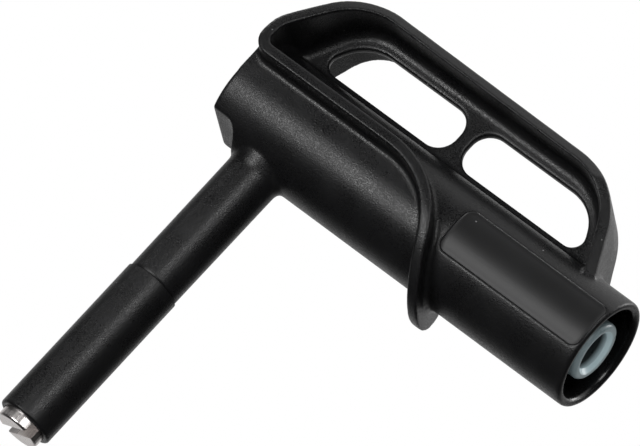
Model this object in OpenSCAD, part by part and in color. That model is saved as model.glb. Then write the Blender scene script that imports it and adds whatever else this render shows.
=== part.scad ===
// Magnetic test adapter: a right-angle probe with a slotted magnetic contact,
// a finned finger grip and a shrouded safety socket for a test lead.
// The origin is the centre of the contact face. +Z runs up the probe, +X points
// out of the socket's mouth, and the grip is symmetric about the plane y = 0.
// Grip modules work in the grip's own frame, with its axis at z = 0.

/* [Overall] */
// Height of the grip's axis above the contact face
axis_h = 41; // [38:0.5:55]
// Distance from the probe's axis to the socket's mouth
socket_reach = 39.3; // [38:0.1:50]
// Distance from the probe's axis to the grip's rear face
rear_reach = 6.5; // [6.2:0.1:9]

/* [Grip barrel] */
// Diameter of the socket end of the barrel, in front of the finger guard
front_d = 12.1; // [11.8:0.1:14]
// Diameter of the barrel behind the finger guard
rear_d = 11.7; // [11.2:0.1:12]
// Rounding of the barrel's ends
end_round = 0.35; // [0.1:0.05:0.6]
// Depth of the flat under the rear end, measured up from the barrel's bottom
heel_depth = 1.7; // [0.8:0.1:2.2]
// Radius of the hollow between that flat and the probe
heel_fillet = 1.3; // [0.6:0.1:1.6]

/* [Rim and finger guard] */
// Thickness of the ribbon that forms the rim, the flank flange and the guard
rim_t = 1.2; // [0.9:0.05:1.5]
// Radius of the finger guard about the barrel's axis
guard_r = 8.3; // [7.6:0.1:10]
// Height of the rim's top above the barrel's axis
rim_top = 14.5; // [14:0.1:18]
// Half-width of the rim at the rear of its top run
rim_half_rear = 4.3; // [3.4:0.1:5]
// Half-width of the rim at the front of its top run
rim_half_front = 3.4; // [2.4:0.1:3.6]
// Half-width of the rim's front wall where it meets the barrel
rim_half_foot = 4.35; // [3.8:0.1:5]
// Height of the flank flange's underside above the barrel's axis
flange_z = 2.05; // [1.2:0.05:2.6]
// Height at which the rear wall of the rim starts to lean forward
shoulder_z = 5.9; // [5:0.1:7]
// Lean of the rim's rear wall above the horizontal
rear_lean = 62.5; // [50:0.5:70]
// Lean of the rim's front wall above the horizontal
front_lean = 62.8; // [55:0.5:75]
// Distance from the socket's mouth back to the front wall's foot, on the axis
front_foot = 1.8; // [1:0.1:4]
// Distance from the socket's mouth back to where the flange starts to fall
guard_fall = 28; // [26:0.2:30]
// Radius of the fall, at the middle of the ribbon
fall_r = 9.8; // [8:0.2:12]
// Slope of the guard below the fall
guard_slope = 66.5; // [60:0.5:75]

/* [Web] */
// Thickness of the web inside the rim
web_t = 1.0; // [0.8:0.1:1.6]
// Height of the slots' lower edge above the barrel's axis
slot_low = 6.75; // [6.6:0.05:7.2]
// Height of the slots' upper edge above the barrel's axis
slot_high = 11.7; // [11.4:0.05:12]
// Width of web left between a slot's end and the rim
web_land = 1.5; // [1:0.1:2.5]
// Width of the bridge between the two slots
bridge_w = 1.5; // [1:0.1:4]
// Distance from the socket's mouth back to the bridge's middle
bridge_back = 25.4; // [22:0.1:28]

/* [Smooth pad] */
// Length of the smooth pad on the barrel's flank
pad_l = 17.6; // [10:0.1:18]
// Height of the smooth pad
pad_h = 5.2; // [3:0.1:7]
// Depth of the smooth pad
pad_depth = 0.12; // [0.05:0.01:0.3]

/* [Probe] */
// Diameter of the moulded spigot where it leaves the barrel
spigot_root_d = 5.85; // [5.7:0.05:6.4]
// Diameter of the moulded spigot at its seam with the sleeve
spigot_d = 5.7; // [5.5:0.05:5.8]
// Diameter of the probe's sleeve
sleeve_d = 6; // [5.9:0.05:6.6]
// Height of the seam between spigot and sleeve above the contact face
seam_h = 19.8; // [18.5:0.1:24]
// Length of the spigot's nose inside the sleeve
nose_l = 3.6; // [2.5:0.1:3.8]
// Diameter of the spigot's nose
nose_d = 4.6; // [4.4:0.05:4.8]
// Height of the sleeve's lip above the contact face
lip_h = 1.15; // [1:0.05:1.6]

/* [Contact] */
// Diameter of the magnetic contact
tip_d = 4.8; // [4.6:0.02:4.9]
// Length of the magnetic contact
tip_l = 5.4; // [5.2:0.1:6]
// Width and depth of the slot across the contact face
tip_slot = 1.1; // [0.6:0.1:1.3]
// Angle of that slot about the probe's axis
tip_slot_turn = -40; // [-90:5:90]
// Travel of the sprung contact into the sleeve
tip_travel = 0.8; // [0.4:0.1:0.9]
// Diameter of the magnet
magnet_d = 3.4; // [3:0.1:3.6]
// Length of the magnet
magnet_l = 2.6; // [2:0.1:2.8]
// Wire diameter of the contact's spring
spring_wire = 0.4; // [0.3:0.05:0.5]
// Number of turns of the contact's spring
spring_turns = 5; // [4:1:6]

/* [Conductor] */
// Diameter of the probe's rod
rod_d = 3; // [2.8:0.1:3.2]
// Diameter of the rod's screw thread, modelled plain
rod_thread_d = 2.5; // [2:0.1:2.6]
// Diameter of the conductor bar in the barrel
bar_d = 5; // [4.6:0.1:5.2]

/* [Socket] */
// Diameter of the socket chamber round the grey sleeve
chamber_d = 10.2; // [9.8:0.05:10.5]
// Depth of the socket chamber
chamber_l = 23; // [21:0.5:24]
// Outer diameter of the grey sleeve
socket_sleeve_d = 6.4; // [6.3:0.05:6.8]
// Opening of the grey sleeve, for a plug pin of 4 mm
pin_bore_d = 4.15; // [4.1:0.01:4.2]
// Length of that opening before the contact starts
pin_bore_l = 6; // [4:0.5:8]
// Distance by which the grey sleeve sits back from the mouth
socket_setback = 0.5; // [0.3:0.1:1.5]
// Outer diameter of the socket contact
contact_d = 5; // [4.9:0.05:5.1]
// Inner diameter of the socket contact, round the spring cage
contact_bore_d = 4.5; // [4.4:0.02:4.6]
// Number of slots in the spring cage
cage_slots = 8; // [6:1:10]

/* [Hidden] */
$fn = 72;

// Clearances
fit_gap = 0.05;      // Between pieces that are pushed together
slide_gap = 0.05;    // Between the contact and what guides it
seat_gap = 0.02;     // Between faces that seat on each other
eps = 0.01;          // Overcut of a cutting tool
join = 0.1;          // Overlap of two stretches of one solid
min_round = 0.1;     // Radius of a corner that counts as sharp
arc_over = 0.003;    // How far a rounded corner's circle passes its sides
lap = 0.03;          // Step between two stretches that would only touch
far = 80;            // Longer than the whole part

// Barrel
front_r = front_d / 2;
rear_r = rear_d / 2;
heel_z = heel_depth - rear_r;

// Rim
rim_foot_x = socket_reach - front_foot;
rear_top_x = -rear_reach + (rim_top - shoulder_z) / tan(rear_lean);
front_top_x = rim_foot_x - rim_top / tan(front_lean);
front_low_x = rim_foot_x - flange_z / tan(front_lean);
RIM = [
    [-rear_reach, flange_z], [-rear_reach, shoulder_z], [rear_top_x, rim_top],
    [front_top_x, rim_top], [front_low_x, flange_z]
];
RIM_RADII = [2, 4.3, 6.7, 8.7, min_round];

run_start = rear_top_x + RIM_RADII[2] * tan(rear_lean / 2);
wall_toe = 0.3;

// Arch of the rim seen along the barrel: it is as wide as the guard at the axis
arch_in = guard_r - rim_half_rear;
arch_r = (rim_top * rim_top + arch_in * arch_in) / (2 * arch_in);

// Fall of the flange into the guard, at the middle of the ribbon
fall_x = socket_reach - guard_fall;
flange_mid = flange_z + rim_t / 2;
fall_low = -2 * guard_r;
fall_corner_x = fall_x + fall_r * tan(guard_slope / 2);
FALL = [
    [-rear_reach, flange_mid], [fall_corner_x, flange_mid],
    [fall_corner_x + (flange_mid - fall_low) / tan(guard_slope), fall_low], [-rear_reach, fall_low]
];
FALL_RADII = [1, fall_r, 1, 1];

// Slots
slot_inset = rim_t + web_land;
bridge_x = socket_reach - bridge_back;
slot_round = 2.1;
slot_round_low = 1.3;
slot_round_high = 4.6;

// Probe
root_flare = 0.5;
root_rise = rear_r - sqrt(rear_r * rear_r - pow(spigot_root_d / 2 + root_flare, 2));
nose_h = seam_h - nose_l;
sleeve_web_t = 2;
sleeve_web_h = nose_h - seat_gap - sleeve_web_t;
bore_d = tip_d + 2 * slide_gap;
rod_head_l = 4;
rod_head_h = sleeve_web_h - seat_gap - rod_head_l;
rod_head_d = bore_d - 2 * fit_gap;
lip_round = 0.25;
probe_seal_wire = 0.6;
probe_seal_h = seam_h - 1.1;

// Contact
magnet_h = tip_slot + 0.4;
iron_h = magnet_h + magnet_l;
iron_l = 0.5;
stem_h = iron_h + iron_l;
tip_bore_d = magnet_d + 2 * fit_gap;
stem_d = 1.6;
stem_top = rod_head_h + rod_head_l - 0.6 - tip_travel;
pin_d = 0.8;
pin_h = rod_head_h + 1.7;
spring_d = tip_d - 2 * fit_gap - spring_wire;
spring_sides = 8;
spring_steps = 20;

// Conductor
washer_t = 0.5;
washer_d = 4.4;
bar_flat_depth = 0.3;
bar_flat_h = axis_h - bar_d / 2 + bar_flat_depth;
rod_shoulder_h = bar_flat_h - washer_t - 2 * seat_gap;
rod_top = axis_h + bar_d / 2 - 1;
bar_rear = 3.6;
bar_bore_d = bar_d + 2 * fit_gap;

// Socket
chamber_x = socket_reach - chamber_l;
collar_l = 3;
collar_d = 8.3;
collar_x = chamber_x - collar_l;
seal_wire = 1.2;
seal_seat_x = collar_x - seal_wire - 2 * seat_gap;
sleeve_front_x = socket_reach - socket_setback;
contact_front_x = sleeve_front_x - pin_bore_l;
stud_d = 3;
stud_l = 4;
contact_base_l = 2.5;
bar_front_x = collar_x;
ring_t = 0.8;
cage_l = 11;
cage_wall = 0.15;

// Colours
black_nylon = [0.06, 0.06, 0.065];
teal_grey = [0.47, 0.54, 0.55];
nickel = [0.78, 0.75, 0.68];
brass = [0.78, 0.62, 0.3];
steel = [0.62, 0.63, 0.65];
rubber = [0.12, 0.12, 0.13];

// Helpers for the flat outlines

function unit(v) = v / norm(v);
function after(pts, i) = pts[(i + 1) % len(pts)];
function before(pts, i) = pts[(i + len(pts) - 1) % len(pts)];
function half_angle(pts, i) =
    acos(unit(before(pts, i) - pts[i]) * unit(after(pts, i) - pts[i])) / 2;

// Centre of a circle of radius r that touches both sides of corner i
function corner_centre(pts, i, r) =
    pts[i] + unit(unit(before(pts, i) - pts[i]) + unit(after(pts, i) - pts[i])) * r / sin(half_angle(pts, i));

// The outline moved inwards by d
function inset(pts, d) = [for (i = [0:len(pts) - 1]) corner_centre(pts, i, d)];
function inset_radii(radii, d) = [for (r = radii) max(r - d, min_round)];

function touch_before(pts, i, r) =
    pts[i] + unit(before(pts, i) - pts[i]) * r / tan(half_angle(pts, i));
function touch_after(pts, i, r) =
    pts[i] + unit(after(pts, i) - pts[i]) * r / tan(half_angle(pts, i));

// A convex outline with every corner rounded by a true arc, which cuts its sides at
// a slight angle, because arcs that only touch leave slivers
module rounded_outline(pts, radii) {
    difference() {
        polygon(pts);
        for (i = [0:len(pts) - 1])
            let (c = corner_centre(pts, i, radii[i]))
                difference() {
                    polygon([
                        c, c + 1.5 * (touch_before(pts, i, radii[i]) - c),
                        c + 2.5 * (pts[i] - c), c + 1.5 * (touch_after(pts, i, radii[i]) - c)
                    ]);
                    translate(c) circle(r = radii[i] + arc_over);
                }
    }
}

// Extrudes a side view, drawn as x and z, equally to both sides of y = 0
module side_view(width) {
    rotate([90, 0, 0]) linear_extrude(height = width, center = true) children();
}

// Extrudes an end view, drawn as y and z, along x
module end_view(x0, x1) {
    translate([x0, 0, 0]) rotate([90, 0, 90]) linear_extrude(height = x1 - x0) children();
}

module rod_x(x0, x1, d) {
    translate([x0, 0, 0]) rotate([0, 90, 0]) cylinder(h = x1 - x0, d = d);
}

module rod_z(z0, z1, d, d2 = undef) {
    translate([0, 0, z0]) cylinder(h = z1 - z0, d1 = d, d2 = is_undef(d2) ? d : d2);
}

// A bar along x with both ends rounded
module rounded_rod_x(x0, x1, d, r) {
    translate([x0, 0, 0]) rotate([0, 90, 0]) rotate_extrude() union() {
        square([d / 2 - r, x1 - x0]);
        translate([0, r]) square([d / 2, x1 - x0 - 2 * r]);
        for (y = [r, x1 - x0 - r]) translate([d / 2 - r, y]) circle(r = r);
    }
}

// Grip

// The ribbon's loop seen from the side
module rim_loop() {
    difference() {
        rounded_outline(RIM, RIM_RADII);
        rounded_outline(inset(RIM, rim_t), inset_radii(RIM_RADII, rim_t));
    }
}

// The flange's fall round the barrel and the straight guard below it, seen from the
// side: the edge of a wedge whose one corner is rounded
module guard_fall_view() {
    difference() {
        rounded_outline(inset(FALL, -rim_t / 2), inset_radii(FALL_RADII, -rim_t / 2));
        rounded_outline(inset(FALL, rim_t / 2), inset_radii(FALL_RADII, rim_t / 2));
        translate([fall_x - join - far, -2 * far]) square([far, 4 * far]);
        translate([-far, fall_low - far + rim_t]) square([4 * far, far]);
    }
}

// The pointed arch above the axis, seen along the barrel
module arch_view() {
    intersection() {
        translate([arch_r - guard_r, 0]) circle(r = arch_r);
        translate([guard_r - arch_r, 0]) circle(r = arch_r);
        translate([-guard_r, 0]) square([2 * guard_r, rim_top + 1]);
    }
}

// Everything on the inner side of an upright plane that leans in towards the top
// by lean and narrows towards the front by toe, and is half wide at x and z
module inner_side(x, z, half, toe, lean) {
    toe_angle = atan(toe);
    translate([x, half, z]) rotate([0, 0, -toe_angle]) rotate([atan(lean * cos(toe_angle)), 0, 0])
        translate([-far, -far, -far]) cube([2 * far, far, 2 * far]);
}

// One plane a side carries the arch on along the top run, and one trims the front wall
module narrowing() {
    run_toe = (rim_half_rear - rim_half_front) / (front_top_x - run_start);
    run_lean = rim_top / sqrt(arch_r * arch_r - rim_top * rim_top);
    wall_lean = (rim_half_foot - rim_half_front + wall_toe * (front_low_x - front_top_x)) / (rim_top - flange_z);
    intersection() {
        for_both_sides() inner_side(run_start, rim_top, rim_half_rear - lap, run_toe, run_lean);
        for_both_sides() inner_side(front_top_x, rim_top, rim_half_front, wall_toe, wall_lean);
    }
}

// What a half-space and its mirror image have in common
module for_both_sides() {
    intersection() {
        children();
        mirror([0, 1, 0]) children();
    }
}

// Rim, flank flange and finger guard: one ribbon. Above the axis it is trimmed to
// the arch, and below the axis to a circle about it.
module ribbon() {
    flange_top = flange_z + rim_t;
    intersection() {
        end_view(-far, far) arch_view();
        union() {
            side_view(2 * guard_r + 1) {
                intersection() {
                    rim_loop();
                    union() {
                        translate([-far, 0]) square([far + run_start, far]);
                        translate([-far, 0]) square([far + fall_x, flange_top]);
                    }
                }
                guard_fall_view();
            }
            intersection() {
                narrowing();
                side_view(2 * guard_r + 1) intersection() {
                    rim_loop();
                    translate([run_start - join, flange_top]) square([far, far]);
                }
            }
        }
    }
    intersection() {
        rod_x(-far, far, 2 * guard_r);
        side_view(2 * guard_r + 1) intersection() {
            guard_fall_view();
            translate([0, -far]) square([far, far]);
        }
    }
}

// The barrel's flanks rise straight from the axis to the flange
module flank_view() {
    intersection() {
        rounded_outline(FALL, FALL_RADII);
        translate([-rear_reach, 0]) square([far, flange_mid]);
    }
    difference() {
        translate([-rear_reach, 0]) square([RIM_RADII[0], flange_z + RIM_RADII[0]]);
        rounded_outline(inset(RIM, rim_t / 2), inset_radii(RIM_RADII, rim_t / 2));
    }
}

module slots_view() {
    inner = inset(RIM, slot_inset);
    rear_slope = 1 / tan(rear_lean);
    front_slope = 1 / tan(front_lean);
    rear_low = inner[1] + [(slot_low - inner[1][1]) * rear_slope, slot_low - inner[1][1]];
    rear_high = inner[1] + [(slot_high - inner[1][1]) * rear_slope, slot_high - inner[1][1]];
    front_low = inner[3] + [(inner[3][1] - slot_low) * front_slope, slot_low - inner[3][1]];
    front_high = inner[3] + [(inner[3][1] - slot_high) * front_slope, slot_high - inner[3][1]];
    bridge_rear = bridge_x - bridge_w / 2;
    bridge_front = bridge_x + bridge_w / 2;
    rounded_outline(
        [rear_low, rear_high, [bridge_rear, slot_high], [bridge_rear, slot_low]],
        [slot_round_low, slot_round_high, slot_round, slot_round]);
    rounded_outline(
        [[bridge_front, slot_low], [bridge_front, slot_high], front_high, front_low],
        [slot_round, slot_round, slot_round_high, slot_round_low]);
}

module heel_cut() {
    wall_x = -(spigot_root_d / 2 + 0.4);
    side_view(2 * front_d) difference() {
        translate([-far, heel_z - far]) square([far + wall_x, far]);
        difference() {
            translate([wall_x - heel_fillet, heel_z - heel_fillet]) square(heel_fillet + eps);
            translate([wall_x - heel_fillet, heel_z - heel_fillet]) circle(r = heel_fillet);
        }
    }
}

module smooth_pad() {
    difference() {
        translate([0, -front_r, 0]) side_view(front_r)
            rounded_outline(
                [
                    [socket_reach - end_round - pad_l, -pad_h / 2], [socket_reach - end_round - pad_l, pad_h / 2],
                    [socket_reach - end_round, pad_h / 2], [socket_reach - end_round, -pad_h / 2]
                ],
                [0.9, 0.9, 0.9, 0.9]);
        rod_x(-far, far, front_d - 2 * pad_depth);
    }
}

module spigot() {
    rod_z(seam_h - axis_h, -rear_r / 2, spigot_d, spigot_root_d);
    rod_z(nose_h - axis_h, seam_h - axis_h + eps, nose_d);
    rod_z(-rear_r - root_flare, root_flare - rear_r + root_rise, spigot_root_d, spigot_root_d + 2 * root_flare);
}

module grip_solid() {
    difference() {
        union() {
            rounded_rod_x(-rear_reach, socket_reach - end_round, rear_d, end_round);
            side_view(rear_d) flank_view();
            // The barrel is wider in front of the guard and above the flange
            difference() {
                rounded_rod_x(-rear_reach, socket_reach, front_d, end_round);
                side_view(2 * front_d) rounded_outline(FALL, FALL_RADII);
            }
        }
        heel_cut();
        smooth_pad();
    }
    ribbon();
    side_view(web_t) intersection() {
        rounded_outline(RIM, RIM_RADII);
        translate([-far, 0]) square([2 * far, far]);
    }
    intersection() {
        spigot();
        translate([-far, -far, nose_h - axis_h]) cube([2 * far, 2 * far, axis_h - nose_h]);
    }
}

module handle_body() {
    color(black_nylon) translate([0, 0, axis_h]) difference() {
        grip_solid();
        side_view(2 * front_d) slots_view();
        // Socket chamber and its mouth
        rod_x(chamber_x, socket_reach + eps, chamber_d);
        translate([socket_reach - end_round, 0, 0]) rotate([0, 90, 0])
            cylinder(h = end_round + eps, d1 = chamber_d, d2 = chamber_d + 2 * end_round);
        // Seat of the grey sleeve's collar, and of the seal behind it
        rod_x(seal_seat_x, chamber_x + eps, collar_d + 2 * fit_gap);
        // Channel of the conductor bar
        rod_x(-bar_rear - fit_gap, seal_seat_x + eps, bar_bore_d);
        // Channel of the probe's rod, and the washer's seat
        rod_z(nose_h - axis_h - eps, 0, rod_d + 2 * fit_gap);
        rod_z(rod_shoulder_h - axis_h - seat_gap, 0, washer_d + 2 * fit_gap);
        // Groove of the seal on the nose
        seal_groove(nose_d, probe_seal_h - axis_h);
    }
}

// Ring-shaped groove in a post along z
module seal_groove(d, z) {
    translate([0, 0, z]) rotate_extrude() translate([d / 2, 0]) circle(r = probe_seal_wire / 2);
}

// Probe

module probe_sleeve() {
    color(black_nylon) difference() {
        union() {
            rod_z(lip_h + lip_round, seam_h, sleeve_d);
            rod_z(lip_h, lip_h + 2 * lip_round, sleeve_d - 2 * lip_round);
            translate([0, 0, lip_h + lip_round]) rotate_extrude()
                translate([sleeve_d / 2 - lip_round, 0]) circle(r = lip_round);
        }
        rod_z(0, sleeve_web_h, bore_d);
        rod_z(0, seam_h, rod_d + 2 * fit_gap);
        rod_z(nose_h - seat_gap, seam_h + eps, nose_d + 2 * fit_gap);
        seal_groove(nose_d + 2 * fit_gap, probe_seal_h);
    }
}

module probe_seal() {
    color(rubber) translate([0, 0, probe_seal_h]) rotate_extrude()
        translate([nose_d / 2 + fit_gap / 2, 0]) circle(r = probe_seal_wire / 2 - fit_gap);
}

module contact_tip() {
    color(nickel) difference() {
        union() {
            rod_z(lip_round, tip_l, tip_d);
            rod_z(0, 2 * lip_round, tip_d - 2 * lip_round);
            translate([0, 0, lip_round]) rotate_extrude()
                translate([tip_d / 2 - lip_round, 0]) circle(r = lip_round);
        }
        rod_z(magnet_h, tip_l + eps, tip_bore_d);
        rotate(tip_slot_turn) translate([-tip_d, -tip_slot / 2, -eps]) cube([2 * tip_d, tip_slot, tip_slot + eps]);
    }
}

module tip_magnet() {
    color(steel) rod_z(magnet_h, iron_h - seat_gap, magnet_d);
}

module back_iron() {
    color(steel) rod_z(iron_h, stem_h - seat_gap, magnet_d);
}

module tip_stem() {
    slot_w = pin_d + 2 * slide_gap;
    color(brass) difference() {
        union() {
            rod_z(stem_h, tip_l, magnet_d);
            rod_z(tip_l - eps, stem_top, stem_d);
        }
        for (z = [pin_h - tip_travel, pin_h]) translate([0, 0, z]) rotate([90, 0, 0])
            cylinder(h = tip_d, d = slot_w, center = true);
        translate([-slot_w / 2, -tip_d / 2, pin_h - tip_travel]) cube([slot_w, tip_d, tip_travel]);
    }
}

module stop_pin() {
    color(steel) translate([0, 0, pin_h]) rotate([90, 0, 0]) cylinder(h = rod_head_d - 0.2, d = pin_d, center = true);
}

// A round wire swept along a helix, as one closed skin
module tip_spring() {
    low = tip_l + spring_wire / 2 + seat_gap;
    high = rod_head_h - spring_wire / 2 - seat_gap;
    steps = spring_turns * spring_steps;
    function ring(k) = [
        for (j = [0:spring_sides - 1])
            let (
                a = 360 * k / spring_steps,
                b = 360 * j / spring_sides,
                r = spring_d / 2 + spring_wire / 2 * cos(b)
            )
            [r * cos(a), r * sin(a), low + (high - low) * k / steps + spring_wire / 2 * sin(b)]
    ];
    color(steel) polyhedron(
        points = [for (k = [0:steps]) each ring(k)],
        faces = concat(
            [[for (j = [0:spring_sides - 1]) j]],
            [[for (j = [0:spring_sides - 1]) steps * spring_sides + spring_sides - 1 - j]],
            [
                for (k = [0:steps - 1], j = [0:spring_sides - 1])
                    let (n = (j + 1) % spring_sides, a = k * spring_sides, b = a + spring_sides)
                    each [[a + j, b + j, b + n], [a + j, b + n, a + n]]
            ]
        )
    );
}

module probe_rod() {
    color(brass) difference() {
        union() {
            rod_z(rod_head_h, rod_head_h + rod_head_l, rod_head_d);
            rod_z(rod_head_h, rod_shoulder_h, rod_d);
            rod_z(rod_head_h, rod_top, rod_thread_d);
        }
        rod_z(rod_head_h - eps, stem_top + tip_travel + 0.2, stem_d + 2 * slide_gap);
        translate([0, 0, pin_h]) rotate([90, 0, 0])
            cylinder(h = tip_d + 2, d = pin_d + 2 * seat_gap, center = true);
    }
}

module lock_washer() {
    color(steel) difference() {
        rod_z(bar_flat_h - washer_t - seat_gap, bar_flat_h - seat_gap, washer_d);
        rod_z(0, axis_h, rod_thread_d + 4 * fit_gap);
    }
}

// Conductor and socket

module conductor_bar() {
    color(brass) difference() {
        translate([0, 0, axis_h]) difference() {
            rod_x(-bar_rear, bar_front_x, bar_d);
            rod_x(bar_front_x - stud_l - 0.5, bar_front_x + eps, stud_d + 2 * fit_gap);
        }
        rod_z(0, rod_top + 0.2, rod_thread_d + 2 * fit_gap);
        // Flat that the washer presses on
        translate([-washer_d / 2 - fit_gap, -bar_d, bar_flat_h - bar_d])
            cube([washer_d + 2 * fit_gap, 2 * bar_d, bar_d]);
    }
}

module bar_seal() {
    color(rubber) translate([seal_seat_x + seal_wire / 2 + seat_gap, 0, axis_h]) rotate([0, 90, 0])
        rotate_extrude() translate([(bar_d + collar_d) / 4, 0]) circle(r = seal_wire / 2);
}

module socket_sleeve() {
    sleeve_round = 0.45;
    color(teal_grey) translate([0, 0, axis_h]) difference() {
        union() {
            rounded_rod_x(collar_x, sleeve_front_x, socket_sleeve_d, sleeve_round);
            rod_x(collar_x, chamber_x - seat_gap, collar_d);
        }
        rod_x(collar_x - eps, contact_front_x + seat_gap, contact_d + 2 * fit_gap);
        rod_x(collar_x, sleeve_front_x + eps, pin_bore_d);
        translate([sleeve_front_x - sleeve_round, 0, 0]) rotate([0, 90, 0])
            cylinder(h = sleeve_round + eps, d1 = pin_bore_d, d2 = pin_bore_d + 2 * sleeve_round);
    }
}

module retaining_ring() {
    color(steel) translate([0, 0, axis_h]) difference() {
        rod_x(chamber_x + seat_gap, chamber_x + ring_t, chamber_d - 2 * fit_gap);
        rod_x(chamber_x, chamber_x + ring_t + eps, socket_sleeve_d + 2 * fit_gap);
    }
}

module socket_contact() {
    contact_rear_x = bar_front_x + seat_gap;
    color(nickel) translate([0, 0, axis_h]) difference() {
        union() {
            rod_x(contact_rear_x, contact_front_x, contact_d);
            rod_x(bar_front_x - stud_l, contact_rear_x + eps, stud_d);
        }
        rod_x(contact_rear_x + contact_base_l, contact_front_x + eps, contact_bore_d);
    }
}

// A slotted tube whose ribs press on the plug's pin
module spring_cage() {
    cage_d = contact_bore_d - 2 * seat_gap;
    cage_end = contact_front_x - 1.5;
    rib_end = 1.2;
    slot_w = 0.5;
    color(brass) translate([0, 0, axis_h]) difference() {
        rod_x(cage_end - cage_l, cage_end, cage_d);
        rod_x(cage_end - cage_l - eps, cage_end + eps, cage_d - 2 * cage_wall);
        for (i = [0:cage_slots - 1]) rotate([360 * i / cage_slots, 0, 0])
            translate([cage_end - cage_l + rib_end, -slot_w / 2, 0]) cube([cage_l - 2 * rib_end, slot_w, cage_d]);
    }
}

handle_body();
probe_sleeve();
contact_tip();
tip_magnet();
back_iron();
tip_stem();
tip_spring();
stop_pin();
probe_rod();
lock_washer();
probe_seal();
conductor_bar();
bar_seal();
socket_sleeve();
retaining_ring();
socket_contact();
spring_cage();
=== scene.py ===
import math

import bmesh
import bpy
import numpy as np
from mathutils import Matrix, Vector


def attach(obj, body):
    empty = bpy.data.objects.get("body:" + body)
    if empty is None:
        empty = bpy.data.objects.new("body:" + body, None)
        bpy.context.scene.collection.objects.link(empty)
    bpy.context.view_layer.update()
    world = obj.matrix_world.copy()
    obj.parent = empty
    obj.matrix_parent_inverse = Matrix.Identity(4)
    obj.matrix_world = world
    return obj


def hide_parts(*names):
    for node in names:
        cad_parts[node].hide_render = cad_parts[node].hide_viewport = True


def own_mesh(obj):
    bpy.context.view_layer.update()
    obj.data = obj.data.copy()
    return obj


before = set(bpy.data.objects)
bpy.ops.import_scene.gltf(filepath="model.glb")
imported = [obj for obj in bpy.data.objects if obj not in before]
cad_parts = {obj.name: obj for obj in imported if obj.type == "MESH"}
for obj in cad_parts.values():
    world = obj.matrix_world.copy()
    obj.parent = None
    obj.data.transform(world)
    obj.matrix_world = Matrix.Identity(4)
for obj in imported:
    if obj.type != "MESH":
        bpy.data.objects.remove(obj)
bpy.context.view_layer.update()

bl_info = {
    "name": "Magnetic Test Adapter",
    "version": (1, 0, 0),
    "blender": (4, 5, 0),
    "location": "View3D > Sidebar > Adapter",
    "description": "Dresses a right-angle magnetic test adapter: moulded grip, probe, contact and socket",
    "category": "Add Mesh",
}

MM = 0.001

# Grip outline in the plane of symmetry, in mm, with z measured from the barrel's axis
AXIS_Z = 41.0
RIM_T = 1.2
WEB_T = 1.0
RIM = [(-6.5, 2.05), (-6.5, 5.9), (-2.023, 14.5), (30.048, 14.5), (36.446, 2.05)]
RIM_RADII = [2.0, 4.3, 6.7, 8.7, 0.1]

# Hollow bars between web and rim, in mm: how deep they sit in the solid, and where they start and stop
BAR_SUNK = 0.35
BAR_START = 0.6
BAR_STOP = 1.2
CORNER_STEPS = 14
HOLLOW_STEPS = 9
WELD = 0.002

# Socket, in mm: front ends of shroud and grey sleeve, polished chamber, and where the painted highlight on
# the bore's chamfer and the painted shade in the bore change
SOCKET_X = 39.3
SLEEVE_X = 38.8
CHAMBER_X = (15.5, SOCKET_X - 0.1)
CHAMBER_REACH = 5.25
CHAMFER_HIGHLIGHT_REACH = (2.42, 2.56)
BORE_SHADE_REACH = (2.2, 2.4)
BORE_SHADE_FADE = (SLEEVE_X - 1.1, SLEEVE_X - 0.45)

# Smooth pad on the near flank, in mm, the share of the grain that it lacks, and the cut of its line in grains
PAD_X = (21.35, 38.95)
PAD_HALF = 2.6
PAD_CORNER = 0.9
PAD_EDGE = 0.02
PAD_LINE = 0.09
PAD_SMOOTH = 0.9
PAD_CUT = 2.5

# Surface of the moulding, lengths in mm
NYLON_SPECULAR = 0.39
GRAIN_DEPTH = 0.026
GRAIN_GLOSS = 0.09
GRAIN_RANGE = (0.42, 0.58)
PATCH_SIZE = 4.0
PATCH_GLOSS = (-0.04, 0.05)
DUST_SPACING = 2.6
DUST_SIZE = 0.03
DUST_COLOUR = (0.35, 0.35, 0.36, 1.0)

# Metal: features per metre along x, y and z, of the stains drawn along it and of the lines left by turning
DRAWN = (2600.0, 2600.0, 260.0)
TURNED_NICKEL = (900.0, 900.0, 14000.0)
TURNED_BRASS = (1500.0, 1500.0, 9000.0)
TURNED_STEEL = (3000.0, 3000.0, 6000.0)
METAL_ROUGHNESS = (0.25, 0.38)

MODEL_NODES = {
    "Nickel": ("contact_tip", "socket_contact", "tip_magnet"),
    "Brass": ("probe_rod", "conductor_bar", "tip_stem", "spring_cage"),
    "Steel": ("back_iron", "stop_pin", "lock_washer", "retaining_ring"),
    "Rubber": ("probe_seal", "bar_seal"),
}


class AdapterSizes(bpy.types.PropertyGroup):
    """Sizes of the dressed model that a user would change."""

    cell: bpy.props.FloatProperty(
        name="Cell", description="Size of the cells that the moulded grip is made of",
        default=0.00013, min=0.00008, max=0.0004, subtype="DISTANCE", unit="LENGTH")
    root_radius: bpy.props.FloatProperty(
        name="Root radius", description="Radius of the hollows where flange and guard meet the barrel",
        default=0.00026, min=0.0001, max=0.001, subtype="DISTANCE", unit="LENGTH")
    web_hollow: bpy.props.FloatProperty(
        name="Web hollow", description="Radius of the hollow between the web and the rim",
        default=0.0010, min=0.0003, max=0.0014, subtype="DISTANCE", unit="LENGTH")
    edge_passes: bpy.props.IntProperty(
        name="Edge passes", description="Smoothing passes that round the moulded edges",
        default=3, min=1, max=20)
    kept_faces: bpy.props.FloatProperty(
        name="Kept faces", description="Share of the grip's faces that is kept",
        default=0.3, min=0.05, max=1.0)


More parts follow.
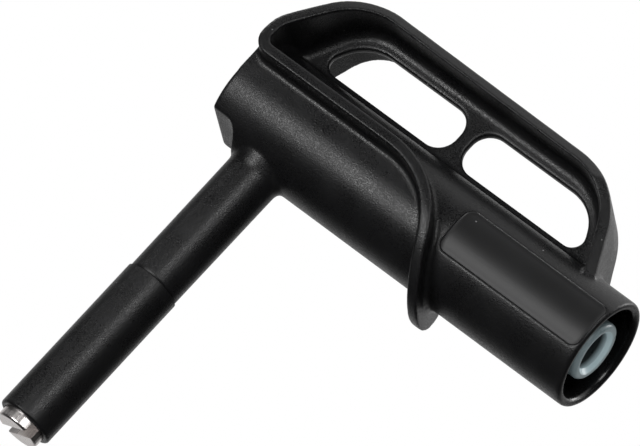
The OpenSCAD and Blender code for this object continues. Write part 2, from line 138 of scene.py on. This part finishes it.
class AdapterFinish(bpy.types.PropertyGroup):
    """Colours and finishes that a user would change."""

    nylon: bpy.props.FloatVectorProperty(
        name="Nylon", description="Colour of the black moulding",
        default=(0.005, 0.005, 0.0054), size=3, min=0.0, max=1.0, subtype="COLOR")
    nylon_roughness: bpy.props.FloatProperty(
        name="Nylon roughness", description="Roughness of the spark-eroded surface",
        default=0.36, min=0.0, max=1.0)
    pad_roughness: bpy.props.FloatProperty(
        name="Pad roughness", description="Roughness of the smooth pad",
        default=0.44, min=0.0, max=1.0)
    grain: bpy.props.FloatProperty(
        name="Grain", description="Size of the spark-eroded grain",
        default=0.00012, min=0.00005, max=0.001, subtype="DISTANCE", unit="LENGTH")
    grey: bpy.props.FloatVectorProperty(
        name="Grey", description="Colour of the socket's inner sleeve",
        default=(0.21, 0.268, 0.284), size=3, min=0.0, max=1.0, subtype="COLOR")
    nickel: bpy.props.FloatVectorProperty(
        name="Nickel", description="Colour of the plated contact",
        default=(0.95, 0.905, 0.885), size=3, min=0.0, max=1.0, subtype="COLOR")
    brass: bpy.props.FloatVectorProperty(
        name="Brass", description="Colour of the turned brass",
        default=(0.74, 0.56, 0.26), size=3, min=0.0, max=1.0, subtype="COLOR")
    steel: bpy.props.FloatVectorProperty(
        name="Steel", description="Colour of the bright steel",
        default=(0.56, 0.57, 0.58), size=3, min=0.0, max=1.0, subtype="COLOR")


def sizes():
    return bpy.context.scene.adapter_sizes


def finish():
    return bpy.context.scene.adapter_finish


# Node helpers

class Nodes:
    """Adds nodes to a material and links them in one call each."""

    def __init__(self, name):
        self.material = bpy.data.materials.new(name)
        self.material.use_nodes = True
        self.tree = self.material.node_tree
        self.shader = self.tree.nodes["Principled BSDF"]
        self.coords = self.add("ShaderNodeTexCoord").outputs["Object"]

    def add(self, kind, links=(), **settings):
        node = self.tree.nodes.new(kind)
        for key, value in settings.items():
            setattr(node, key, value)
        for socket, value in dict(links).items():
            self.put(node.inputs[socket], value)
        return node

    def put(self, socket, value):
        if isinstance(value, bpy.types.NodeSocket):
            self.tree.links.new(value, socket)
        else:
            socket.default_value = value

    def math(self, operation, *values, clamp=False):
        node = self.add("ShaderNodeMath", operation=operation, use_clamp=clamp)
        for socket, value in zip(node.inputs, values):
            self.put(socket, value)
        return node.outputs[0]

    def length(self, a, b):
        squares = self.math("ADD", self.math("MULTIPLY", a, a), self.math("MULTIPLY", b, b))
        return self.math("SQRT", squares)

    def noise(self, size, detail=2.0, roughness=0.5):
        """Noise whose features are about size metres across."""
        links = {"Vector": self.coords, "Scale": 1.0 / size, "Detail": detail, "Roughness": roughness}
        return self.add("ShaderNodeTexNoise", links).outputs["Fac"]

    def streaks(self, stretch):
        """Noise drawn out by axis: stretch is about how many features a metre holds along x, y and z."""
        drawn = self.add("ShaderNodeMapping", {"Vector": self.coords, "Scale": stretch})
        links = {"Vector": drawn.outputs["Vector"], "Scale": 1.0, "Detail": 3.0}
        return self.add("ShaderNodeTexNoise", links).outputs["Fac"]

    def spread(self, value, low, high, from_low=0.3, from_high=0.7):
        """Maps the range from_low to from_high on low to high, and stops at both ends."""
        links = {"Value": value, "From Min": from_low, "From Max": from_high, "To Min": low, "To Max": high}
        return self.add("ShaderNodeMapRange", links).outputs["Result"]

    def mix_colour(self, factor, a, b):
        node = self.add("ShaderNodeMix", data_type="RGBA")
        self.put(node.inputs["Factor"], factor)
        self.put(node.inputs["A"], a)
        self.put(node.inputs["B"], b)
        return node.outputs["Result"]

    def bump(self, height, distance, strength=1.0):
        links = {"Height": height, "Distance": distance, "Strength": strength}
        return self.add("ShaderNodeBump", links).outputs["Normal"]

    def tint(self, noise, colour, dark, light):
        """The colour, between dark and light times as bright by the noise."""
        return self.mix_colour(self.spread(noise, 0.0, 1.0), rgba(colour, dark), rgba(colour, light))

    def surface(self, **values):
        for key, value in values.items():
            self.put(self.shader.inputs[key.replace("_", " ")], value)


def rgba(colour, factor=1.0):
    return tuple(c * factor for c in colour) + (1.0,)


def pad_reach(nodes):
    """Distance of a point from the pad's inner outline, with a metre added on the far flank."""
    middle = (PAD_X[0] + PAD_X[1]) / 2 * MM
    half_length = (PAD_X[1] - PAD_X[0]) / 2 * MM
    corner = PAD_CORNER * MM
    split = nodes.add("ShaderNodeSeparateXYZ", {"Vector": nodes.coords})
    along = nodes.math("ABSOLUTE", nodes.math("SUBTRACT", split.outputs["X"], middle))
    up = nodes.math("ABSOLUTE", nodes.math("SUBTRACT", split.outputs["Z"], AXIS_Z * MM))
    out_x = nodes.math("MAXIMUM", nodes.math("SUBTRACT", along, half_length - corner), 0.0)
    out_z = nodes.math("MAXIMUM", nodes.math("SUBTRACT", up, PAD_HALF * MM - corner), 0.0)
    far_side = nodes.math("GREATER_THAN", split.outputs["Y"], 0.0)
    return nodes.math("ADD", nodes.length(out_x, out_z), far_side)


def nylon_material(name, padded):
    """Black polyamide with a spark-eroded grain, faint scuffs and a few specks of dust."""
    values = finish()
    nodes = Nodes(name)
    grain = nodes.noise(values.grain, detail=1.0, roughness=0.7)
    patches = nodes.noise(PATCH_SIZE * MM, detail=4.0)
    gloss = nodes.spread(grain, GRAIN_GLOSS, -GRAIN_GLOSS, *GRAIN_RANGE)
    grain_rough = nodes.math("ADD", gloss, nodes.spread(patches, *PATCH_GLOSS))
    base_rough = values.nylon_roughness
    height = grain
    if padded:
        reach = pad_reach(nodes)
        corner = PAD_CORNER * MM
        pad = nodes.spread(reach, 1.0, 0.0, corner - PAD_EDGE * MM, corner + PAD_EDGE * MM)
        grain_depth = nodes.math("SUBTRACT", 1.0, nodes.math("MULTIPLY", pad, PAD_SMOOTH))
        grain_rough = nodes.math("MULTIPLY", grain_rough, grain_depth)
        base_rough = nodes.spread(pad, values.nylon_roughness, values.pad_roughness, 0.0, 1.0)
        off_line = nodes.math("ABSOLUTE", nodes.math("SUBTRACT", reach, corner))
        groove = nodes.spread(off_line, -PAD_CUT, 0.0, 0.0, PAD_LINE * MM)
        height = nodes.math("ADD", nodes.math("MULTIPLY", grain, grain_depth), groove)
    specks = nodes.add("ShaderNodeTexVoronoi", {"Vector": nodes.coords, "Scale": 1.0 / (DUST_SPACING * MM)})
    dust = nodes.math("LESS_THAN", specks.outputs["Distance"], DUST_SIZE)
    shade = nodes.tint(patches, values.nylon, 0.8, 1.3)
    nodes.surface(
        Base_Color=nodes.mix_colour(nodes.math("MULTIPLY", dust, 0.5), shade, DUST_COLOUR),
        Roughness=nodes.math("ADD", grain_rough, base_rough, clamp=True),
        Normal=nodes.bump(height, GRAIN_DEPTH * MM),
    )
    nodes.shader.inputs["Specular IOR Level"].default_value = NYLON_SPECULAR
    return nodes.material


def gloss_material():
    """The polished black wall of the socket chamber."""
    nodes = Nodes("Polished_Nylon")
    rings = nodes.noise(1.2 * MM, detail=2.0)
    nodes.surface(Base_Color=rgba(finish().nylon, 0.5), Roughness=nodes.spread(rings, 0.2, 0.32),
                  Normal=nodes.bump(rings, 0.01 * MM, 0.2))
    return nodes.material


def grey_material():
    """Blue-grey insulating plastic, with a painted highlight on the bore's chamfer and painted shade in the
    bore behind it.
    """
    nodes = Nodes("Grey_Plastic")
    clouds = nodes.noise(1.5 * MM, detail=3.0)
    split = nodes.add("ShaderNodeSeparateXYZ", {"Vector": nodes.coords})
    reach = nodes.length(split.outputs["Y"], nodes.math("SUBTRACT", split.outputs["Z"], AXIS_Z * MM))
    # Painted highlight: the chamfer round the bore's mouth is made 2.1 times as pale as the grey.
    painted_highlight = nodes.spread(reach, 1.0, 0.0, *(r * MM for r in CHAMFER_HIGHLIGHT_REACH))
    grey_with_highlight = nodes.mix_colour(painted_highlight, nodes.tint(clouds, finish().grey, 0.88, 1.12), rgba(finish().grey, 2.1))
    # Painted shade: inside the bore the grey is darkened to a tenth, fading out towards the mouth.
    bore = nodes.spread(reach, 1.0, 0.0, *(r * MM for r in BORE_SHADE_REACH))
    depth = nodes.spread(split.outputs["X"], 1.0, 0.0, *(x * MM for x in BORE_SHADE_FADE))
    fine = nodes.noise(0.2 * MM)
    nodes.surface(
        Base_Color=nodes.mix_colour(nodes.math("MULTIPLY", bore, depth), grey_with_highlight, rgba(finish().grey, 0.1)),
        Roughness=nodes.spread(clouds, 0.26, 0.38),
        Normal=nodes.bump(fine, 0.01 * MM, 0.25),
    )
    nodes.shader.inputs["Subsurface Weight"].default_value = 0.05
    nodes.shader.inputs["Subsurface Radius"].default_value = (0.001, 0.001, 0.001)
    return nodes.material


def metal_material(name, colour, stretch):
    """Turned metal: fine lines round the upright parts, and light stains drawn along them."""
    nodes = Nodes(name)
    stain = nodes.streaks(DRAWN)
    nodes.surface(
        Base_Color=nodes.tint(stain, colour, 0.78, 1.04),
        Roughness=nodes.spread(stain, *METAL_ROUGHNESS),
        Normal=nodes.bump(nodes.streaks(stretch), 0.012 * MM, 0.8),
    )
    nodes.shader.inputs["Metallic"].default_value = 1.0
    return nodes.material


def rubber_material():
    """Black nitrile seal."""
    nodes = Nodes("Rubber")
    bloom = nodes.noise(0.6 * MM, detail=3.0)
    nodes.surface(Base_Color=(0.02, 0.02, 0.02, 1.0), Roughness=nodes.spread(bloom, 0.6, 0.8),
                  Normal=nodes.bump(bloom, 0.01 * MM, 0.3))
    return nodes.material


# Mesh helpers

def set_material(piece, *materials):
    piece.data.materials.clear()
    for material in materials:
        piece.data.materials.append(material)


def mesh_object(name, mesh):
    piece = bpy.data.objects.new(name, mesh)
    bpy.context.scene.collection.objects.link(piece)
    return piece


def evaluated(piece, **modifier):
    """Runs one modifier on a mesh object and keeps the result as its mesh."""
    kind = modifier.pop("kind")
    made = piece.modifiers.new(kind, kind)
    for key, value in modifier.items():
        setattr(made, key, value)
    graph = bpy.context.evaluated_depsgraph_get()
    old = piece.data
    new = bpy.data.meshes.new_from_object(piece.evaluated_get(graph))
    piece.modifiers.clear()
    piece.data = new
    bpy.data.meshes.remove(old)


def coordinates(mesh):
    points = np.empty(len(mesh.vertices) * 3)
    mesh.vertices.foreach_get("co", points)
    return points.reshape(-1, 3)


def move_points(mesh, points):
    mesh.vertices.foreach_set("co", points.ravel())
    mesh.update()


def offset(mesh, distance):
    """Moves the skin out along its normals."""
    normals = np.empty(len(mesh.vertices) * 3)
    mesh.vertex_normals.foreach_get("vector", normals)
    move_points(mesh, coordinates(mesh) + normals.reshape(-1, 3) * distance)


def relax(mesh, passes):
    """Moves each point half-way to the mean of its neighbours, several times."""
    edges = np.empty(len(mesh.edges) * 2, dtype=np.int64)
    mesh.edges.foreach_get("vertices", edges)
    a, b = edges.reshape(-1, 2).T
    count = len(mesh.vertices)
    degree = np.bincount(a, minlength=count) + np.bincount(b, minlength=count)
    points = coordinates(mesh)
    for _ in range(passes):
        total = np.stack([
            np.bincount(a, points[b, k], count) + np.bincount(b, points[a, k], count) for k in range(3)
        ], axis=1)
        points += 0.5 * (total / degree[:, None] - points)
    move_points(mesh, points)


# The grip

def inset_outline(points, distance):
    """The convex clockwise outline moved inwards, all in mm."""
    count = len(points)
    moved = []
    for i in range(count):
        before = Vector(points[i - 1])
        here = Vector(points[i])
        after = Vector(points[(i + 1) % count])
        u, v = (here - before).normalized(), (after - here).normalized()
        n1, n2 = Vector((u.y, -u.x)), Vector((v.y, -v.x))
        moved.append(here + (n1 + n2) * distance / (1 + n1.dot(n2)))
    return moved


def rounded_path(points, radii):
    """Points and inward normals along an outline's corners 1 to 3, from the barrel up, over and down."""
    path = []
    low = points[1] + (points[0] - points[1]).normalized() * BAR_START
    path.append((low, Vector((1.0, 0.0))))
    for i in (1, 2, 3):
        u = (points[i] - points[i - 1]).normalized()
        v = (points[i + 1] - points[i]).normalized()
        n1, n2 = Vector((u.y, -u.x)), Vector((v.y, -v.x))
        centre = points[i] + (n1 + n2) * radii[i] / (1 + n1.dot(n2))
        for k in range(CORNER_STEPS + 1):
            n = n1.slerp(n2, k / CORNER_STEPS)
            path.append((centre - n * radii[i], n))
    v = (points[4] - points[3]).normalized()
    n = Vector((v.y, -v.x))
    span = (points[4] - points[3]).length
    path.append((points[3] + v * (span - BAR_STOP), n))
    return path


def hollow_bar(side):
    """A closed bar with a hollow face, in the corner between the web and the rim's inner wall."""
    radius = sizes().web_hollow / MM
    inner = inset_outline(RIM, RIM_T)
    radii = [max(r - RIM_T, 0.1) for r in RIM_RADII]
    web = WEB_T / 2
    arc = [(radius - radius * math.cos(t), web + radius - radius * math.sin(t))
           for t in np.linspace(0.0, math.pi / 2, HOLLOW_STEPS)]
    section = [(-BAR_SUNK, web + radius)] + arc + [(radius, web - BAR_SUNK), (-BAR_SUNK, web - BAR_SUNK)]
    shape = bmesh.new()
    rings = []
    for place, normal in rounded_path(inner, radii):
        ring = []
        for inwards, outwards in section:
            at = place + normal * inwards
            ring.append(shape.verts.new((at.x * MM, side * outwards * MM, (at.y + AXIS_Z) * MM)))
        rings.append(ring)
    count = len(section)
    for one, two in zip(rings, rings[1:]):
        for k in range(count):
            n = (k + 1) % count
            shape.faces.new((one[k], one[n], two[n], two[k]))
    shape.faces.new(rings[0][::-1])
    shape.faces.new(rings[-1])
    bmesh.ops.recalc_face_normals(shape, faces=shape.faces)
    return shape


def grip_mesh():
    """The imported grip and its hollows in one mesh, before it is made into one skin."""
    whole = bmesh.new()
    whole.from_mesh(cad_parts["handle_body"].data)
    bmesh.ops.remove_doubles(whole, verts=whole.verts, dist=WELD * MM)
    for side in (-1, 1):
        bar = hollow_bar(side)
        part = bpy.data.meshes.new("hollow_bar")
        bar.to_mesh(part)
        bar.free()
        whole.from_mesh(part)
        bpy.data.meshes.remove(part)
    mesh = bpy.data.meshes.new("grip_shell")
    whole.to_mesh(mesh)
    whole.free()
    mesh.materials.clear()
    return mesh


def mark_chamber(mesh):
    """Gives the wall of the socket chamber the second material."""
    count = len(mesh.polygons)
    centres = np.empty(count * 3)
    mesh.polygons.foreach_get("center", centres)
    x, y, z = centres.reshape(-1, 3).T
    reach = np.hypot(y, z - AXIS_Z * MM)
    chosen = (reach < CHAMBER_REACH * MM) & (x > CHAMBER_X[0] * MM) & (x < CHAMBER_X[1] * MM)
    mesh.polygons.foreach_set("material_index", chosen.astype(np.int32))
    mesh.polygons.foreach_set("use_smooth", np.ones(count, dtype=bool))
    mesh.update()


class ADAPTER_OT_grip(bpy.types.Operator):
    """Make the moulded grip as one skin with soft edges and hollows"""

    bl_idname = "adapter.grip"
    bl_label = "Grip"

    def execute(self, context):
        values = sizes()
        piece = mesh_object("grip_shell", grip_mesh())
        cells = {"kind": "REMESH", "mode": "VOXEL", "voxel_size": values.cell}
        evaluated(piece, **cells)
        offset(piece.data, values.root_radius)
        evaluated(piece, **cells)
        offset(piece.data, -values.root_radius)
        evaluated(piece, **cells)
        relax(piece.data, values.edge_passes)
        evaluated(piece, kind="DECIMATE", ratio=values.kept_faces)
        set_material(piece, nylon_material("Black_Nylon", padded=True), gloss_material())
        mark_chamber(piece.data)
        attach(piece, "grip")
        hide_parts("handle_body")
        return {"FINISHED"}


class ADAPTER_OT_probe(bpy.types.Operator):
    """Finish the probe's insulating sleeve"""

    bl_idname = "adapter.probe"
    bl_label = "Probe sleeve"

    def execute(self, context):
        set_material(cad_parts["probe_sleeve"], nylon_material("Sleeve_Nylon", padded=False))
        return {"FINISHED"}


class ADAPTER_OT_socket(bpy.types.Operator):
    """Finish the grey sleeve of the socket"""

    bl_idname = "adapter.socket"
    bl_label = "Socket sleeve"

    def execute(self, context):
        set_material(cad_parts["socket_sleeve"], grey_material())
        return {"FINISHED"}


class ADAPTER_OT_metal(bpy.types.Operator):
    """Finish the contact, the conductor, the spring cage and the seals"""

    bl_idname = "adapter.metal"
    bl_label = "Metal and seals"

    def execute(self, context):
        values = finish()
        materials = {
            "Nickel": metal_material("Nickel", values.nickel, TURNED_NICKEL),
            "Brass": metal_material("Brass", values.brass, TURNED_BRASS),
            "Steel": metal_material("Steel", values.steel, TURNED_STEEL),
            "Rubber": rubber_material(),
        }
        for name, nodes in MODEL_NODES.items():
            for node in nodes:
                set_material(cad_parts[node], materials[name])
        return {"FINISHED"}


class ADAPTER_OT_spring(bpy.types.Operator):
    """Make the contact's spring from the imported one, in spring steel"""

    bl_idname = "adapter.spring"
    bl_label = "Contact spring"

    def execute(self, context):
        spring = mesh_object("contact_spring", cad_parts["tip_spring"].data.copy())
        set_material(spring, metal_material("Spring_Steel", finish().steel, TURNED_STEEL))
        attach(spring, "grip")
        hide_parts("tip_spring")
        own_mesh(spring)
        return {"FINISHED"}


# The stage

CAMERA_RIGHT = Vector((0.74657, 0.1149, 0.65527))
CAMERA_DOWN = Vector((0.55281, 0.44071, -0.70722))
CAMERA_FORWARD = Vector((-0.37005, 0.89022, 0.2655))
CAMERA_MARK = Vector((39.0, 0.0, AXIS_Z))
CAMERA_OFFSET = (26.685, 12.63, 1101.2)
FOCAL_PIXELS = 11462.2
FRAME_WIDTH = 640.0
SENSOR_WIDTH = 36.0

# Lamps: name, azimuth and elevation in degrees from the adapter's near side, and power in watts
LAMPS = (
    ("key", -20.0, -15.0, 1.85),
    ("fill", 22.0, 15.0, 1.05),
    ("side", -70.0, 35.0, 0.8),
    ("back", 140.0, 60.0, 0.9),
)
LAMP_SIZE = 0.22
LAMP_DISTANCE = 0.6
LAMP_AIM = Vector((0.014, 0.0, 0.032))

# Floor: half its side and where it fades out, in metres, its drop below the contact in mm, and its two tones
FLOOR_HALF = 3.0
FLOOR_FADE = (0.25, 0.6)
FLOOR_DROP = 0.4
FLOOR_TONES = ((0.86, 0.86, 0.86, 1.0), (0.92, 0.92, 0.92, 1.0))

# Light of the studio by direction: how bright it is, and where it starts and is full
ROOM = 0.02
STUDIO = (
    (CAMERA_FORWARD, 0.66, 0.45, 0.9),
    (Vector((0.0, 0.0, 1.0)), 1.1, 0.7, 0.95),
)


def make_camera():
    data = bpy.data.cameras.new("Camera")
    camera = bpy.data.objects.new("Camera", data)
    bpy.context.scene.collection.objects.link(camera)
    data.sensor_width = SENSOR_WIDTH
    data.lens = FOCAL_PIXELS / FRAME_WIDTH * SENSOR_WIDTH
    data.clip_start = 0.01
    data.clip_end = 20.0
    turn = Matrix((CAMERA_RIGHT, -CAMERA_DOWN, -CAMERA_FORWARD)).transposed()
    x, y, z = CAMERA_OFFSET
    eye = CAMERA_MARK - CAMERA_RIGHT * x - CAMERA_DOWN * y - CAMERA_FORWARD * z
    camera.matrix_world = Matrix.Translation(eye * MM) @ turn.to_4x4()
    bpy.context.scene.camera = camera


def add_softbox(name, azimuth, elevation, power):
    """A square lamp that faces the adapter and isn't seen by the camera."""
    turn = math.radians(azimuth)
    lift = math.radians(elevation)
    away = Vector((math.sin(turn) * math.cos(lift), -math.cos(turn) * math.cos(lift), math.sin(lift)))
    data = bpy.data.lights.new(name, "AREA")
    data.shape = "SQUARE"
    data.size = LAMP_SIZE
    data.energy = power
    light = bpy.data.objects.new(name, data)
    bpy.context.scene.collection.objects.link(light)
    light.location = LAMP_AIM + away * LAMP_DISTANCE
    light.rotation_mode = "QUATERNION"
    light.rotation_quaternion = away.to_track_quat("Z", "Y")
    light.visible_camera = False


def stage_world():
    """White to the camera. The object sees a pale wall behind it, a pale ceiling and a dim room in front."""
    world = bpy.data.worlds.new("Studio")
    bpy.context.scene.world = world
    world.use_nodes = True
    tree = world.node_tree
    tree.nodes.clear()
    add = tree.nodes.new
    direction = add("ShaderNodeTexCoord").outputs["Generated"]
    total = add("ShaderNodeLightPath").outputs["Is Camera Ray"]
    for towards, strength, start, full in STUDIO:
        part = add("ShaderNodeVectorMath")
        part.operation = "DOT_PRODUCT"
        part.inputs[1].default_value = towards
        tree.links.new(direction, part.inputs[0])
        glow = add("ShaderNodeMapRange")
        glow.interpolation_type = "SMOOTHSTEP"
        glow.inputs["From Min"].default_value = start
        glow.inputs["From Max"].default_value = full
        glow.inputs["To Min"].default_value = 0.0
        glow.inputs["To Max"].default_value = strength
        tree.links.new(part.outputs["Value"], glow.inputs["Value"])
        both = add("ShaderNodeMath")
        both.operation = "MAXIMUM"
        tree.links.new(total, both.inputs[0])
        tree.links.new(glow.outputs["Result"], both.inputs[1])
        total = both.outputs[0]
    dim = add("ShaderNodeMath")
    dim.operation = "MAXIMUM"
    dim.inputs[1].default_value = ROOM
    tree.links.new(total, dim.inputs[0])
    sky = add("ShaderNodeBackground")
    tree.links.new(dim.outputs[0], sky.inputs["Color"])
    tree.links.new(sky.outputs[0], add("ShaderNodeOutputWorld").inputs["Surface"])


def stage_floor():
    """A pale floor under the contact, which fades into the white of the room.

    It shows only from above. Reflections and the low lamp pass it, so the object mirrors the wall behind.
    """
    shape = bmesh.new()
    bmesh.ops.create_grid(shape, x_segments=1, y_segments=1, size=FLOOR_HALF)
    mesh = bpy.data.meshes.new("floor")
    shape.to_mesh(mesh)
    shape.free()
    floor = mesh_object("floor", mesh)
    floor.location = (0.0, 0.0, -FLOOR_DROP * MM)
    nodes = Nodes("Pale_Floor")
    nodes.surface(Base_Color=nodes.mix_colour(nodes.noise(0.03, detail=3.0), *FLOOR_TONES))
    nodes.shader.inputs["Roughness"].default_value = 0.8
    nodes.shader.inputs["Specular IOR Level"].default_value = 0.1
    path = nodes.add("ShaderNodeLightPath").outputs
    past = nodes.add("ShaderNodeNewGeometry").outputs["Backfacing"]
    for kind in ("Is Shadow Ray", "Is Glossy Ray", "Is Transmission Ray"):
        past = nodes.math("MAXIMUM", past, path[kind])
    split = nodes.add("ShaderNodeSeparateXYZ", {"Vector": nodes.coords})
    away = nodes.length(split.outputs["X"], split.outputs["Y"])
    past = nodes.math("MAXIMUM", past, nodes.spread(away, 0.0, 1.0, *FLOOR_FADE))
    clear = nodes.add("ShaderNodeBsdfTransparent")
    mix = nodes.add("ShaderNodeMixShader", {"Fac": past, 1: nodes.shader.outputs[0], 2: clear.outputs[0]})
    nodes.put(nodes.tree.nodes["Material Output"].inputs["Surface"], mix.outputs[0])
    set_material(floor, nodes.material)


class ADAPTER_OT_stage(bpy.types.Operator):
    """Set the floor, the world, the lamps and the camera"""

    bl_idname = "adapter.stage"
    bl_label = "Stage"

    def execute(self, context):
        context.scene.view_settings.view_transform = "Standard"
        stage_world()
        stage_floor()
        make_camera()
        for lamp in LAMPS:
            add_softbox(*lamp)
        return {"FINISHED"}


OPERATORS = (
    ADAPTER_OT_stage, ADAPTER_OT_grip, ADAPTER_OT_probe,
    ADAPTER_OT_socket, ADAPTER_OT_metal, ADAPTER_OT_spring,
)


class ADAPTER_PT_panel(bpy.types.Panel):
    """Lists the pieces and their values"""

    bl_idname = "ADAPTER_PT_panel"
    bl_label = "Magnetic Test Adapter"
    bl_space_type = "VIEW_3D"
    bl_region_type = "UI"
    bl_category = "Adapter"

    def draw(self, context):
        layout = self.layout
        for operator in OPERATORS:
            layout.operator(operator.bl_idname)
        for group in (sizes(), finish()):
            for name in group.__annotations__:
                layout.prop(group, name)


CLASSES = (AdapterSizes, AdapterFinish, *OPERATORS, ADAPTER_PT_panel)


def register():
    for cls in CLASSES:
        bpy.utils.register_class(cls)
    bpy.types.Scene.adapter_sizes = bpy.props.PointerProperty(type=AdapterSizes)
    bpy.types.Scene.adapter_finish = bpy.props.PointerProperty(type=AdapterFinish)


def unregister():
    del bpy.types.Scene.adapter_finish
    del bpy.types.Scene.adapter_sizes
    for cls in reversed(CLASSES):
        bpy.utils.unregister_class(cls)


def main():
    register()
    for operator in OPERATORS:
        group, name = operator.bl_idname.split(".")
        getattr(getattr(bpy.ops, group), name)()


if __name__ == "__main__":
    main()
